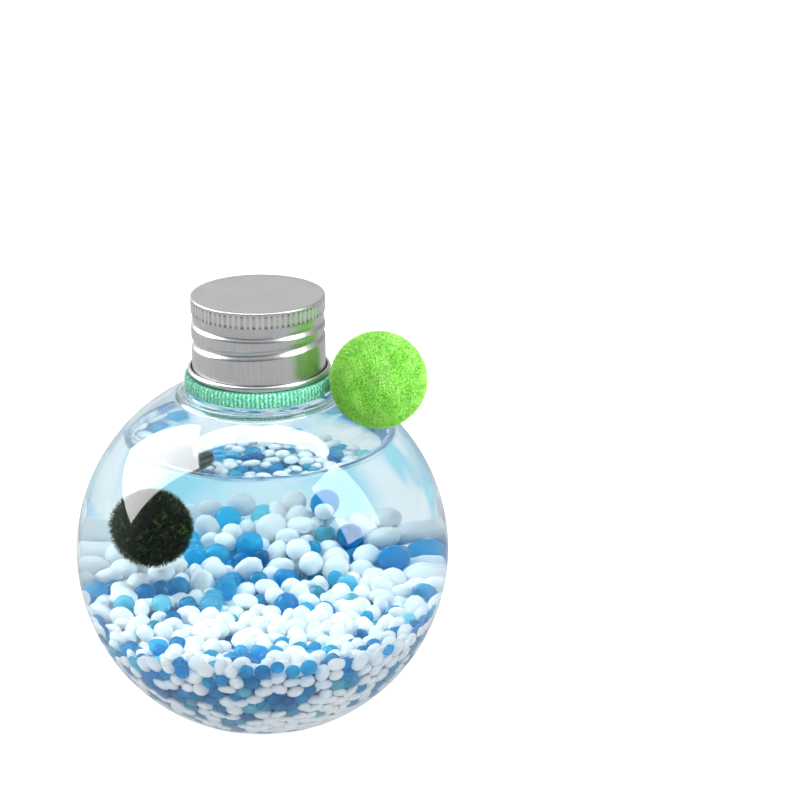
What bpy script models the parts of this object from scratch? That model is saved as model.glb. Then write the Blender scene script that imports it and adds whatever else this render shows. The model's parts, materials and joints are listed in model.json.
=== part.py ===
"""A moss ball in its jar: a clear round plastic jar with a bed of beads, water, a marimo moss ball,
an aluminium screw cap, and an elastic band with a pom-pom round the neck.

Metres, +Z up. The origin is on the jar's axis, on the surface that its foot stands on.
Every piece is a closed solid of its own, and pieces that touch keep a gap of 0.3 mm.
"""
import math

import bmesh
import bpy
from mathutils import Vector

MM = 0.001
GAP = 0.3 * MM                      # between two pieces that touch
SEGMENTS = 36                       # steps round every turned piece

# the jar: a blown ball with a flat foot, a stepped shoulder and a threaded neck
BALL_RADIUS = 40.0 * MM
BALL_CENTRE = 35.0 * MM             # height of the ball's centre over the foot
WALL = 0.9 * MM
FOOT_FILLET = 10.5 * MM             # rounds the ball into the foot
FOOT_INNER = 11.0 * MM              # inside this radius the base is pushed up
PUSH_UP = 2.0 * MM
STEP_RADIUS = 17.1 * MM             # the outer edge of the shoulder's step
SHELF_HEIGHT = 72.2 * MM            # the flat that the band sits on
COLLAR_RADIUS = 12.5 * MM
NECK_RADIUS = 12.0 * MM
BORE_RADIUS = 10.6 * MM
COLLAR_TOP = 77.6 * MM
MOUTH_HEIGHT = 90.6 * MM

# the thread: one right-hand ridge on the neck, and the groove rolled into the cap
THREAD_PITCH = 4.2 * MM
GROOVE_START = 83.6 * MM            # height of the groove's centre at the front
GROOVE_DEPTH = 0.6 * MM
GROOVE_HALF_WIDTH = 1.25 * MM
RIDGE_HEIGHT = 1.0 * MM
RIDGE_HALF_WIDTH = 0.9 * MM
LEVEL_GROOVE = 87.2 * MM            # height of the plain bead groove under the knurled band
LEVEL_GROOVE_DEPTH = 0.5 * MM
LEVEL_GROOVE_HALF_WIDTH = 1.0 * MM

# the cap and its liner
CAP_RADIUS = 14.0 * MM
CAP_WALL = 0.6 * MM
CAP_TOP = 92.6 * MM
HEM_BOTTOM = 76.0 * MM
HEM_RADIUS = 15.0 * MM
LINER_THICKNESS = 0.8 * MM

# the band round the neck and its pom-pom
BAND_OUTER = 15.8 * MM
BAND_TOP = HEM_BOTTOM - GAP
POMPOM_RADIUS = 10.2 * MM
POMPOM_CENTRE = Vector((25.1, -8.0, 76.4)) * MM

# what the jar holds
WATER_LEVEL = 61.9 * MM
MENISCUS = 0.6 * MM                 # how far the water climbs up the wall
BED_LEVEL = 24.8 * MM
MOSS_RADIUS = 6.1 * MM
MOSS_PLACE = (-17.1 * MM, 12.4 * MM)

# hills and hollows of the bed: x, y, height, spread
BED_HILLS = (
    (-17.6 * MM, 12.4 * MM, 1.5 * MM, 9.0 * MM),
    (2.0 * MM, -38.0 * MM, 1.8 * MM, 10.0 * MM),
    (-33.0 * MM, -18.0 * MM, -5.0 * MM, 9.0 * MM),
    (26.0 * MM, 26.0 * MM, -2.0 * MM, 10.0 * MM),
    (2.0 * MM, 38.0 * MM, 4.0 * MM, 10.0 * MM),
)


def clear_scene():
    """Removes whatever objects the open file holds."""
    for thing in list(bpy.data.objects):
        bpy.data.objects.remove(thing, do_unlink=True)


def material(name, colour, roughness, metallic=0.0, transmission=0.0):
    """A plain Principled material."""
    made = bpy.data.materials.new(name)
    made.use_nodes = True
    shader = made.node_tree.nodes["Principled BSDF"]
    shader.inputs["Base Color"].default_value = (*colour, 1.0)
    shader.inputs["Roughness"].default_value = roughness
    shader.inputs["Metallic"].default_value = metallic
    shader.inputs["Transmission Weight"].default_value = transmission
    return made


def finish(name, mesh_data, look):
    """Turns a bmesh into one named, smooth-shaded object whose faces point out."""
    bmesh.ops.recalc_face_normals(mesh_data, faces=mesh_data.faces)
    mesh = bpy.data.meshes.new(name)
    mesh_data.to_mesh(mesh)
    mesh_data.free()
    mesh.materials.append(look)
    mesh.shade_smooth()
    mesh.set_sharp_from_angle(angle=math.radians(40))
    made = bpy.data.objects.new(name, mesh)
    bpy.context.scene.collection.objects.link(made)
    return made


def arc(centre_radius, centre_height, radius, start, stop, steps):
    """Points of a circular arc in the (radius, height) plane, angles in degrees from straight down."""
    points = []
    for step in range(steps + 1):
        angle = math.radians(start + (stop - start) * step / steps)
        points.append((centre_radius + radius * math.sin(angle), centre_height - radius * math.cos(angle)))
    return points


def turned(name, profile, look, shift=None):
    """Turns a closed outline of (radius, height) points round Z.

    A point with radius 0 is a pole. shift(radius, height, angle) may return the radius and the height
    that a point really has at that angle, for threads, grooves and a surface that isn't level.
    """
    shape = bmesh.new()
    rings = []
    for radius, height in profile:
        if radius == 0.0:
            rings.append([shape.verts.new(shifted(shift, radius, height, 0.0))])
            continue
        ring = []
        for step in range(SEGMENTS):
            ring.append(shape.verts.new(shifted(shift, radius, height, math.tau * step / SEGMENTS)))
        rings.append(ring)
    for lower, upper in zip(rings, rings[1:] + rings[:1]):
        if len(lower) == 1 and len(upper) == 1:
            continue
        for step in range(SEGMENTS):
            following = (step + 1) % SEGMENTS
            corners = []
            for ring, place in ((lower, step), (lower, following), (upper, following), (upper, step)):
                corner = ring[place % len(ring)]
                if corner not in corners:
                    corners.append(corner)
            shape.faces.new(corners)
    return finish(name, shape, look)


def shifted(shift, radius, height, angle):
    """The place of one outline point at one angle, after the shift."""
    if shift:
        radius, height = shift(radius, height, angle)
    return radius * math.cos(angle), radius * math.sin(angle), height


def bump(distance, half_width):
    """A smooth hump: 1 in the middle, 0 from half_width outwards."""
    if abs(distance) >= half_width:
        return 0.0
    return 0.5 + 0.5 * math.cos(math.pi * distance / half_width)


def helix_bump(height, angle, start_height, first_turn, last_turn, half_width):
    """The hump of a right-hand helix at a height and an angle.

    The helix passes start_height at the front (-90 degrees) and runs from first_turn to last_turn,
    counted in turns from there. It runs out over its last tenth of a turn at both ends.
    """
    strength = 0.0
    turn = (angle + math.pi / 2) / math.tau
    for whole in (-2, -1, 0, 1):
        place = turn + whole
        if not first_turn < place < last_turn:
            continue
        run_out = min(1.0, (place - first_turn) / 0.1, (last_turn - place) / 0.1)
        centre = start_height + THREAD_PITCH * place
        strength = max(strength, run_out * bump(height - centre, half_width))
    return strength


def neck_thread(radius, height, angle):
    """Raises the neck's ridge, half a pitch above the cap's groove."""
    if abs(radius - NECK_RADIUS) > 0.01 * MM:
        return radius, height
    ridge = helix_bump(height, angle, GROOVE_START - THREAD_PITCH / 2, -0.35, 0.85, RIDGE_HALF_WIDTH)
    return radius + RIDGE_HEIGHT * ridge, height


def rolled_grooves(radius, height, angle):
    """Rolls the level groove and the thread groove into both faces of the cap's wall."""
    if min(abs(radius - CAP_RADIUS), abs(radius - CAP_RADIUS + CAP_WALL)) > 0.01 * MM:
        return radius, height
    level = LEVEL_GROOVE_DEPTH * bump(height - LEVEL_GROOVE, LEVEL_GROOVE_HALF_WIDTH)
    thread = GROOVE_DEPTH * helix_bump(height, angle, GROOVE_START, -0.45, 0.4, GROOVE_HALF_WIDTH)
    return radius - max(level, thread), height


def bed_height(x, y):
    """Height of the bed's top: level, with a few low hills and one hollow."""
    height = BED_LEVEL
    for hill_x, hill_y, rise, spread in BED_HILLS:
        distance = math.hypot(x - hill_x, y - hill_y)
        height += rise * math.exp(-0.5 * (distance / spread) ** 2)
    return height


def foot_arc(inset):
    """The fillet between the foot and the ball, from the foot outwards, with its end angle."""
    ball = BALL_RADIUS - FOOT_FILLET
    rise = BALL_CENTRE - FOOT_FILLET
    reach = math.sqrt(ball ** 2 - rise ** 2)
    end = math.degrees(math.atan2(reach, rise))
    return arc(reach, FOOT_FILLET, FOOT_FILLET - inset, 0.0, end, 4), end


def angle_at_radius(radius, ball):
    """Angle from straight down, on the upper half of a ball, where its radius is the given one."""
    return 180.0 - math.degrees(math.asin(radius / ball))


def angle_at_height(height, ball):
    """Angle from straight down where a ball round the jar's centre reaches a height."""
    return math.degrees(math.acos((BALL_CENTRE - height) / ball))


def ball_arc(ball, start, stop, steps):
    """A ball's outline from below its widest ring to above it, with a point on that ring."""
    below = arc(0.0, BALL_CENTRE, ball, start, 90.0, steps)
    return below + arc(0.0, BALL_CENTRE, ball, 90.0, stop, steps)[1:]


def rows(radius, start, stop, step):
    """Points at one radius, about one step apart, for a wall that carries a thread."""
    count = max(1, round(abs(stop - start) / step))
    return [(radius, start + (stop - start) * place / count) for place in range(count + 1)]


def make_jar():
    """The blown jar: outside up to the mouth, then the inside back down to the base."""
    fillet, foot_end = foot_arc(0.0)
    inner_fillet, _ = foot_arc(WALL)
    inner_ball = BALL_RADIUS - WALL
    outside = [(0.0, PUSH_UP), (6.0 * MM, 0.75 * PUSH_UP), (FOOT_INNER, 0.0)]
    outside += fillet
    outside += ball_arc(BALL_RADIUS, foot_end, angle_at_radius(STEP_RADIUS, BALL_RADIUS), 5)[1:]
    outside += [
        (STEP_RADIUS - 0.1 * MM, SHELF_HEIGHT - 0.6 * MM),
        (STEP_RADIUS - 0.5 * MM, SHELF_HEIGHT - 0.1 * MM),
        (COLLAR_RADIUS + 0.4 * MM, SHELF_HEIGHT),
        (COLLAR_RADIUS, SHELF_HEIGHT + 0.4 * MM),
        (COLLAR_RADIUS, COLLAR_TOP),
    ]
    outside += rows(NECK_RADIUS, COLLAR_TOP + 0.5 * MM, LEVEL_GROOVE - LEVEL_GROOVE_HALF_WIDTH, 0.75 * MM)
    outside += [(NECK_RADIUS, MOUTH_HEIGHT - 0.5 * MM)]
    outside += [(NECK_RADIUS - 0.4 * MM, MOUTH_HEIGHT), (BORE_RADIUS + 0.2 * MM, MOUTH_HEIGHT)]
    inside = [
        (BORE_RADIUS, MOUTH_HEIGHT - 0.3 * MM),
        (BORE_RADIUS, SHELF_HEIGHT + 2.8 * MM),
        (BORE_RADIUS + 0.7 * MM, SHELF_HEIGHT + 0.3 * MM),
        (BORE_RADIUS + 2.0 * MM, SHELF_HEIGHT - 0.6 * MM),
    ]
    top_angle = angle_at_radius(14.6 * MM, inner_ball)
    inside += ball_arc(inner_ball, foot_end, top_angle, 5)[::-1]
    inside += inner_fillet[::-1][1:]
    inside += [(FOOT_INNER, WALL), (6.0 * MM, 0.75 * PUSH_UP + WALL), (0.0, PUSH_UP + WALL)]
    look = material("clear_plastic", (0.93, 0.97, 0.98), 0.03, transmission=1.0)
    return turned("jar", outside + inside, look, neck_thread)


def make_cap():
    """The rolled aluminium cap: curled hem, grooved wall, flat top, and the same wall inside."""
    inner = CAP_RADIUS - CAP_WALL
    outline = [
        (inner + 0.2 * MM, HEM_BOTTOM + 0.25 * MM),
        (CAP_RADIUS + 0.2 * MM, HEM_BOTTOM),
        (HEM_RADIUS - 0.2 * MM, HEM_BOTTOM + 0.2 * MM),
        (HEM_RADIUS, HEM_BOTTOM + 0.6 * MM),
        (HEM_RADIUS - 0.2 * MM, HEM_BOTTOM + 1.0 * MM),
        (CAP_RADIUS + 0.1 * MM, HEM_BOTTOM + 1.2 * MM),
        (CAP_RADIUS, HEM_BOTTOM + 1.5 * MM),
    ]
    groove_zone = (GROOVE_START - 3.2 * MM, LEVEL_GROOVE + LEVEL_GROOVE_HALF_WIDTH)
    outline += rows(CAP_RADIUS, *groove_zone, 0.65 * MM)
    outline += [
        (CAP_RADIUS, CAP_TOP - 0.7 * MM),
        (CAP_RADIUS - 0.2 * MM, CAP_TOP - 0.2 * MM),
        (CAP_RADIUS - 0.7 * MM, CAP_TOP),
        (0.0, CAP_TOP),
        (0.0, CAP_TOP - CAP_WALL),
        (inner - 0.2 * MM, CAP_TOP - CAP_WALL),
        (inner, CAP_TOP - CAP_WALL - 0.3 * MM),
    ]
    outline += rows(inner, *groove_zone[::-1], 0.75 * MM)
    outline += [(inner, HEM_BOTTOM + 1.0 * MM)]
    return turned("screw_cap", outline, material("aluminium", (0.72, 0.72, 0.73), 0.32, metallic=1.0), rolled_grooves)


def make_liner():
    """The foam disc in the cap that seals on the mouth."""
    radius = CAP_RADIUS - CAP_WALL - GAP
    bottom = MOUTH_HEIGHT + GAP
    outline = [(0.0, bottom), (radius, bottom), (radius, bottom + LINER_THICKNESS), (0.0, bottom + LINER_THICKNESS)]
    return turned("cap_liner", outline, material("liner_foam", (0.9, 0.9, 0.88), 0.7))


def make_band():
    """The elastic band: a ring with a rounded section, between the cap's hem and the shelf."""
    inner = COLLAR_RADIUS + GAP
    bottom = SHELF_HEIGHT + GAP
    middle_radius = (inner + BAND_OUTER) / 2
    middle_height = (bottom + BAND_TOP) / 2
    section = []
    for step in range(8):
        angle = math.tau * step / 8
        flat = 1.0 / max(abs(math.cos(angle)), abs(math.sin(angle)))
        swell = flat ** 0.5
        section.append((
            middle_radius + (BAND_OUTER - inner) / 2 * min(1.0, swell * abs(math.cos(angle))) * sign(math.cos(angle)),
            middle_height + (BAND_TOP - bottom) / 2 * min(1.0, swell * abs(math.sin(angle))) * sign(math.sin(angle)),
        ))
    return turned("neck_band", section, material("mint_elastic", (0.35, 0.83, 0.66), 0.8))


def sign(value):
    """1 or -1, by the value's side of zero."""
    return -1.0 if value < 0 else 1.0


def ball_mesh(centre, radius, subdivisions):
    """A geodesic ball as a bmesh."""
    shape = bmesh.new()
    bmesh.ops.create_icosphere(shape, subdivisions=subdivisions, radius=radius)
    bmesh.ops.translate(shape, verts=shape.verts, vec=centre)
    return shape


def push_out_of_jar(point):
    """Moves a point of a soft piece out of the jar's ball and the band, as the fibres give way there."""
    centre = Vector((0.0, 0.0, BALL_CENTRE))
    least = BALL_RADIUS + GAP
    if (point - centre).length < least:
        point = centre + (point - centre).normalized() * least
    across = Vector((point.x, point.y, 0.0))
    if across.length < BAND_OUTER + GAP:
        point = across.normalized() * (BAND_OUTER + GAP) + Vector((0.0, 0.0, point.z))
    return point


def make_pompom():
    """The pom-pom out to its fibres' tips, pressed flat where it leans on the jar's shoulder."""
    shape = ball_mesh(POMPOM_CENTRE, POMPOM_RADIUS, 3)
    for vertex in shape.verts:
        vertex.co = push_out_of_jar(vertex.co)
    return finish("pompom", shape, material("pompom_fibre", (0.30, 0.72, 0.06), 0.9))


def moss_centre():
    """Where the moss ball rests: in the bed's top, a gap above it."""
    x, y = MOSS_PLACE
    return Vector((x, y, bed_height(x, y) + GAP + MOSS_RADIUS))


def make_moss():
    """The moss ball out to its filaments' tips."""
    shape = ball_mesh(moss_centre(), MOSS_RADIUS, 3)
    return finish("moss_ball", shape, material("moss", (0.03, 0.09, 0.02), 0.9))


def surface_rows(radius, lift, outwards):
    """Outline points across the bed's top, from the wall to the axis or the other way."""
    points = []
    for share in (0.0, 0.18, 0.36, 0.54, 0.7, 0.86, 1.0):
        points.append((radius * share, BED_LEVEL + lift))
    return points if outwards else points[::-1]


def follow_bed(lift):
    """A shift that lays the points at the bed's level onto its hills, with a lift.

    The points on the wall slide along the ball as they rise or sink, so they keep their gap to it.
    """
    def shift(radius, height, angle):
        if abs(height - BED_LEVEL - lift) > 0.001 * MM:
            return radius, height
        wall = contents_radius(BED_LEVEL + lift)
        share = radius / wall
        for _ in range(6):
            height = bed_height(radius * math.cos(angle), radius * math.sin(angle)) + lift
            radius = share * contents_radius(height)
        return radius, height
    return shift


def contents_radius(height):
    """Radius of what the jar holds at a height: the inner ball less the gap."""
    ball = BALL_RADIUS - WALL - GAP
    return math.sqrt(ball ** 2 - (height - BALL_CENTRE) ** 2)


def make_bed():
    """The bed of beads out to their tips: the jar's inside up to the bed's hilly top."""
    ball = BALL_RADIUS - WALL - GAP
    fillet, foot_end = foot_arc(WALL + GAP)
    floor = WALL + GAP
    outline = [(0.0, PUSH_UP + floor), (6.0 * MM, 0.75 * PUSH_UP + floor), (FOOT_INNER, floor)]
    outline += fillet
    last = angle_at_height(BED_LEVEL - 7.0 * MM, ball)
    outline += arc(0.0, BALL_CENTRE, ball, foot_end, last, 2)[1:]
    outline += surface_rows(contents_radius(BED_LEVEL), 0.0, outwards=False)
    return turned("bead_bed", outline, material("beads", (0.75, 0.86, 0.93), 0.35), follow_bed(0.0))


def make_water():
    """The water over the bed, less a pocket round the moss ball that is open to the bed."""
    ball = BALL_RADIUS - WALL - GAP
    outline = surface_rows(contents_radius(BED_LEVEL + GAP), GAP, outwards=True)
    first = angle_at_height(BED_LEVEL + 5.0 * MM, ball)
    last = angle_at_height(WATER_LEVEL + MENISCUS, ball)
    outline += arc(0.0, BALL_CENTRE, ball, first, last, 7)
    edge = contents_radius(WATER_LEVEL + MENISCUS)
    outline += [(edge - 0.5 * MM, WATER_LEVEL + 0.3 * MENISCUS), (edge - 1.6 * MM, WATER_LEVEL), (0.0, WATER_LEVEL)]
    look = material("water", (0.96, 0.99, 1.0), 0.0, transmission=1.0)
    water = turned("water", outline, look, follow_bed(GAP))
    pocket = finish("moss_pocket", ball_mesh(moss_centre(), MOSS_RADIUS + 2 * GAP, 3), look)
    pocket.hide_render = True
    pocket.display_type = "WIRE"
    cut = water.modifiers.new("moss_pocket", "BOOLEAN")
    cut.operation = "DIFFERENCE"
    cut.object = pocket
    return water


clear_scene()
make_jar()
make_cap()
make_liner()
make_band()
make_pompom()
make_bed()
make_moss()
make_water()
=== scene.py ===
# %% [markdown]
# # A moss ball in its jar
# This lesson builds a small water garden: a clear round jar with a rolled aluminium cap, a bed of white
# pebbles and blue glass beads under water, a velvety green moss ball, and a pom-pom on an elastic band.
# The construction model comes first. It holds every piece at its true size, so each new surface below
# takes its place from the box of the piece that it stands for.

# %% Load the construction model
import json
import math

import bpy
import numpy as np
from mathutils import Matrix, Vector


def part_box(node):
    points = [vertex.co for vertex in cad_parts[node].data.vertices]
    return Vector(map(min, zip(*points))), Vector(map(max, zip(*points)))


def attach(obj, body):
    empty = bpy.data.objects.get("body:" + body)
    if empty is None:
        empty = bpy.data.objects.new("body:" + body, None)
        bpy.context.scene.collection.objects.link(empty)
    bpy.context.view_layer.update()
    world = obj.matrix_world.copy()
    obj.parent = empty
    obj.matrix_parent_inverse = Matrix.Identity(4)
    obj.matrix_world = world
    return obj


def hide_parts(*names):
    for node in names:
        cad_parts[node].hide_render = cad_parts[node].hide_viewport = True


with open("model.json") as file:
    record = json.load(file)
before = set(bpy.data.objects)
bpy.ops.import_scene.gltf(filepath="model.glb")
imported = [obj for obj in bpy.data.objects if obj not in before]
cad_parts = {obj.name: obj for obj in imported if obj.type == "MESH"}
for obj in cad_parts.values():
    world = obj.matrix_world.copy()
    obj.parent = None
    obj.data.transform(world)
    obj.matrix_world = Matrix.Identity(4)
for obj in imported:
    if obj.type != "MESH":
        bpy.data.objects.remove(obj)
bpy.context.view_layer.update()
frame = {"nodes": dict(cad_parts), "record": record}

MM = 0.001

# %% [markdown]
# ## Measures
# A few sizes drive everything. The ball, the shelf, the mouth and the cap are read off the boxes of the
# construction model, and the thread keeps the pitch that the cap's joint states.

# %% Driving measures
jar_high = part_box("jar")[1]
cap_low, cap_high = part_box("screw_cap")
band_low, band_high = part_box("neck_band")
water_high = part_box("water")[1]
moss_low, moss_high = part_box("moss_ball")
pompom_low, pompom_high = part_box("pompom")

GAP = 0.3 * MM  # room between two pieces that lie close
BALL_RADIUS = jar_high[0]
BALL_CENTRE = 35.0 * MM
WALL = 0.9 * MM
INNER_BALL = BALL_RADIUS - WALL
FOOT_FILLET = 10.5 * MM
FOOT_INNER = 11.0 * MM
PUSH_UP = 2.0 * MM  # how far the middle of the base stands up
STEP_RADIUS = 17.1 * MM
SHELF_HEIGHT = band_low[2] - GAP
COLLAR_RADIUS = 12.5 * MM
COLLAR_TOP = 77.6 * MM
NECK_RADIUS = 12.0 * MM
BORE_RADIUS = 10.6 * MM
MOUTH_HEIGHT = jar_high[2]
THREAD_PITCH = math.tau * frame["record"]["behaviour"]["couplings"][0]["ratio"]
GROOVE_START = 83.6 * MM  # height of the cap's thread groove at the front
LEVEL_GROOVE = 87.2 * MM
CAP_RADIUS = 14.0 * MM
CAP_WALL = 0.6 * MM
HEM_RADIUS = cap_high[0]
MENISCUS = 0.6 * MM  # how far the water climbs at the wall
WATER_LEVEL = water_high[2] - MENISCUS
BED_LEVEL = 24.8 * MM
MOSS_CENTRE = (np.array(moss_low) + np.array(moss_high)) / 2
MOSS_RADIUS = (moss_high[2] - moss_low[2]) / 2
POMPOM_RADIUS = (pompom_high[2] - pompom_low[2]) / 2
POMPOM_CENTRE = np.array([
    pompom_high[0] - POMPOM_RADIUS,
    pompom_low[1] + POMPOM_RADIUS,
    pompom_high[2] - POMPOM_RADIUS,
])
print(f"ball {2 * BALL_RADIUS / MM:.1f} mm, thread pitch {THREAD_PITCH / MM:.2f} mm")
print("moss ball at", (MOSS_CENTRE / MM).round(1), "pom-pom at", (POMPOM_CENTRE / MM).round(1))

# %% [markdown]
# ## From arrays to a mesh
# Blender takes whole arrays of corners and faces at once, which is far quicker than adding them one by
# one in a loop. The helper below makes a named piece from such arrays, shades it, gives it a material,
# sets the body it rides on and hides the plain solid that it stands for.

# %% Mesh helper
def make_piece(name, points, faces, look, body, node, tones=None, second=None):
    """Makes one piece from arrays, in a finish; it rides on a body, and the node it stands for is hidden.

    points is (count, 3); faces is a list of whole-number arrays, one for each number of corners;
    tones holds one value a point for each named attribute that the material reads; second is a
    second material with a true or false for each face that takes it.
    """
    mesh = bpy.data.meshes.new(name)
    mesh.vertices.add(len(points))
    mesh.vertices.foreach_set("co", np.asarray(points, dtype=np.float32).ravel())
    corners = np.concatenate([part.ravel() for part in faces]).astype(np.int32)
    sizes = np.concatenate([np.full(len(part), part.shape[1]) for part in faces])
    mesh.loops.add(len(corners))
    mesh.loops.foreach_set("vertex_index", corners)
    mesh.polygons.add(len(sizes))
    mesh.polygons.foreach_set("loop_start", (np.cumsum(sizes) - sizes).astype(np.int32))
    mesh.update(calc_edges=True)
    for tone, values in (tones or {}).items():
        attribute = mesh.attributes.new(tone, "FLOAT", "POINT")
        attribute.data.foreach_set("value", np.asarray(values, np.float32))
    mesh.shade_smooth()
    mesh.materials.append(look)
    if second:
        mesh.materials.append(second[0])
        mesh.polygons.foreach_set("material_index", np.asarray(second[1], dtype=np.int32))
    piece = bpy.data.objects.new(name, mesh)
    bpy.context.scene.collection.objects.link(piece)
    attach(piece, body)
    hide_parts(node)
    print(f"{name}: {len(points)} points, {int((sizes - 2).sum())} triangles")


# %% [markdown]
# ## Turned surfaces
# The jar, the water, the cap and the band are all an outline in the plane of radius and height, turned
# round the jar's axis. Blender's Screw modifier could do that, but a turned grid of our own can also be
# pushed in or out at every angle, which is how threads, flutes and ribs are cut.

# %% Outlines
CURVE_STEPS = 5


def arc(centre_radius, centre_height, radius, start, stop, step=2.0):
    """Points (r, z) of an arc: centre plus radius times (sin, -cos) of an angle from straight down."""
    count = max(2, int(abs(stop - start) / step))
    angle = np.radians(np.linspace(start, stop, count + 1))
    return np.stack([centre_radius + radius * np.sin(angle), centre_height - radius * np.cos(angle)], 1)


def straight(start, stop, step):
    """Points from start to stop, about a step apart: start times (1 - t) plus stop times t."""
    start, stop = np.array(start), np.array(stop)
    count = max(1, int(round(np.linalg.norm(stop - start) / step)))
    t = np.linspace(0.0, 1.0, count + 1)[:, None]
    return start * (1 - t) + stop * t


def rounded(corners, radius):
    """A broken line with each inner corner replaced by a quadratic Bezier curve.

    The curve starts and ends radius away from the corner, or at half the shorter neighbour.
    """
    corners = np.asarray(corners, dtype=float)
    runs = [corners[:1]]
    t = np.linspace(0.0, 1.0, CURVE_STEPS + 1)[:, None]
    for before, corner, after in zip(corners, corners[1:], corners[2:]):
        cut_in = min(radius, 0.5 * np.linalg.norm(corner - before))
        cut_out = min(radius, 0.5 * np.linalg.norm(after - corner))
        first = corner + (before - corner) / np.linalg.norm(before - corner) * cut_in
        last = corner + (after - corner) / np.linalg.norm(after - corner) * cut_out
        runs.append(first * (1 - t) ** 2 + corner * 2 * t * (1 - t) + last * t ** 2)
    runs.append(corners[-1:])
    return np.concatenate(runs)


def joined(*runs):
    """Runs of outline points one after another, without points that fall on each other."""
    points = np.concatenate([np.atleast_2d(run) for run in runs])
    keep = np.ones(len(points), dtype=bool)
    keep[1:] = np.linalg.norm(np.diff(points, axis=0), axis=1) > 1e-6
    return points[keep]


# %% Turning an outline
def turn(outline, steps, shift=None, closed=False):
    """Turns an outline round Z and returns points and faces.

    Point (i, j) is (r cos a, r sin a, z), with r and z from row i and a = j / steps of a turn.
    An open outline starts and ends on the axis, at two poles; a closed one is a ring's section.
    shift(r, z, a) may move whole arrays of r and z before the turn.
    """
    rows = outline if closed else outline[1:-1]
    angle = np.linspace(0.0, math.tau, steps, endpoint=False)[None, :]
    radius = np.repeat(rows[:, :1], steps, axis=1)
    height = np.repeat(rows[:, 1:], steps, axis=1)
    angle = np.repeat(angle, len(rows), axis=0)
    if shift:
        radius, height = shift(radius, height, angle)
    points = np.stack([radius * np.cos(angle), radius * np.sin(angle), height], 2).reshape(-1, 3)
    index = np.arange(len(rows) * steps).reshape(len(rows), steps)
    following = np.roll(index, -1, axis=1)
    if closed:
        above, above_following = np.roll(index, -1, axis=0), np.roll(following, -1, axis=0)
        faces = [np.stack([index, following, above_following, above], 2).reshape(-1, 4)]
        return points, faces
    faces = [np.stack([index[:-1], following[:-1], following[1:], index[1:]], 2).reshape(-1, 4)]
    first, last = len(points), len(points) + 1
    points = np.concatenate([points, [[0, 0, outline[0, 1]], [0, 0, outline[-1, 1]]]])
    fan_low = np.stack([np.full(steps, first), following[0], index[0]], 1)
    fan_high = np.stack([np.full(steps, last), index[-1], following[-1]], 1)
    faces.append(np.concatenate([fan_low, fan_high]))
    return points, faces


def bump(distance, half_width):
    """A smooth hump: one plus the cosine of the distance, halved; 0 from half_width outwards."""
    return np.where(np.abs(distance) < half_width, 0.5 + 0.5 * np.cos(np.pi * distance / half_width), 0.0)


def helix_bump(height, angle, start_height, first_turn, last_turn, half_width):
    """The hump of a right-hand helix: its centre's height is start_height plus pitch times the turn.

    Turns are counted from the front. The helix runs out over its last tenth of a turn at both ends.
    """
    strength = np.zeros_like(height)
    place = (angle + math.pi / 2) / math.tau
    for whole in (-2, -1, 0, 1):
        at = place + whole
        run_out = np.clip(np.minimum(at - first_turn, last_turn - at) / 0.1, 0.0, 1.0)
        hump = bump(height - start_height - THREAD_PITCH * at, half_width)
        strength = np.maximum(strength, run_out * hump)
    return strength


print("an arc of a quarter turn has", len(arc(0, 0, 1, 0, 90)), "points")

# %% [markdown]
# ## Shader maths as plain Python
# A node tree is easier to read when its arithmetic is written as an expression. The class below wraps a
# socket; adding or multiplying two of them adds a Math node. Colours and vectors have their own calls,
# because a Math node would turn a colour grey.

# %% The socket class
class Wire:
    """An output socket that can be used in an expression."""

    def __init__(self, recipe, socket):
        self.recipe = recipe
        self.socket = socket

    def also(self, output):
        """Another output of the same node."""
        return Wire(self.recipe, self.socket.node.outputs[output])

    def maths(self, operation, other, swap=False):
        """A Math node on this value and another one; swap puts this value second."""
        values = (other, self) if swap else (self, other)
        return self.recipe.node("ShaderNodeMath", {"operation": operation}, dict(enumerate(values)))

    def __add__(self, other):
        return self.maths("ADD", other)

    def __sub__(self, other):
        return self.maths("SUBTRACT", other)

    def __rsub__(self, other):
        return self.maths("SUBTRACT", other, swap=True)

    def __mul__(self, other):
        return self.maths("MULTIPLY", other)

    __radd__ = __add__
    __rmul__ = __mul__

    def spread(self, low, high):
        """This value moved from low..high to 0..1 and held there."""
        inputs = {"Value": self, "From Min": low, "From Max": high}
        return self.recipe.node("ShaderNodeMapRange", {"clamp": True}, inputs)


print("a socket can be added, subtracted and multiplied")

# %% [markdown]
# Every node comes from one call, which sets the node up and then fills its sockets. The other calls are
# short names for what nearly every finish needs: where a point is, noise, a ramp of colours, a mix of two.

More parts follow.
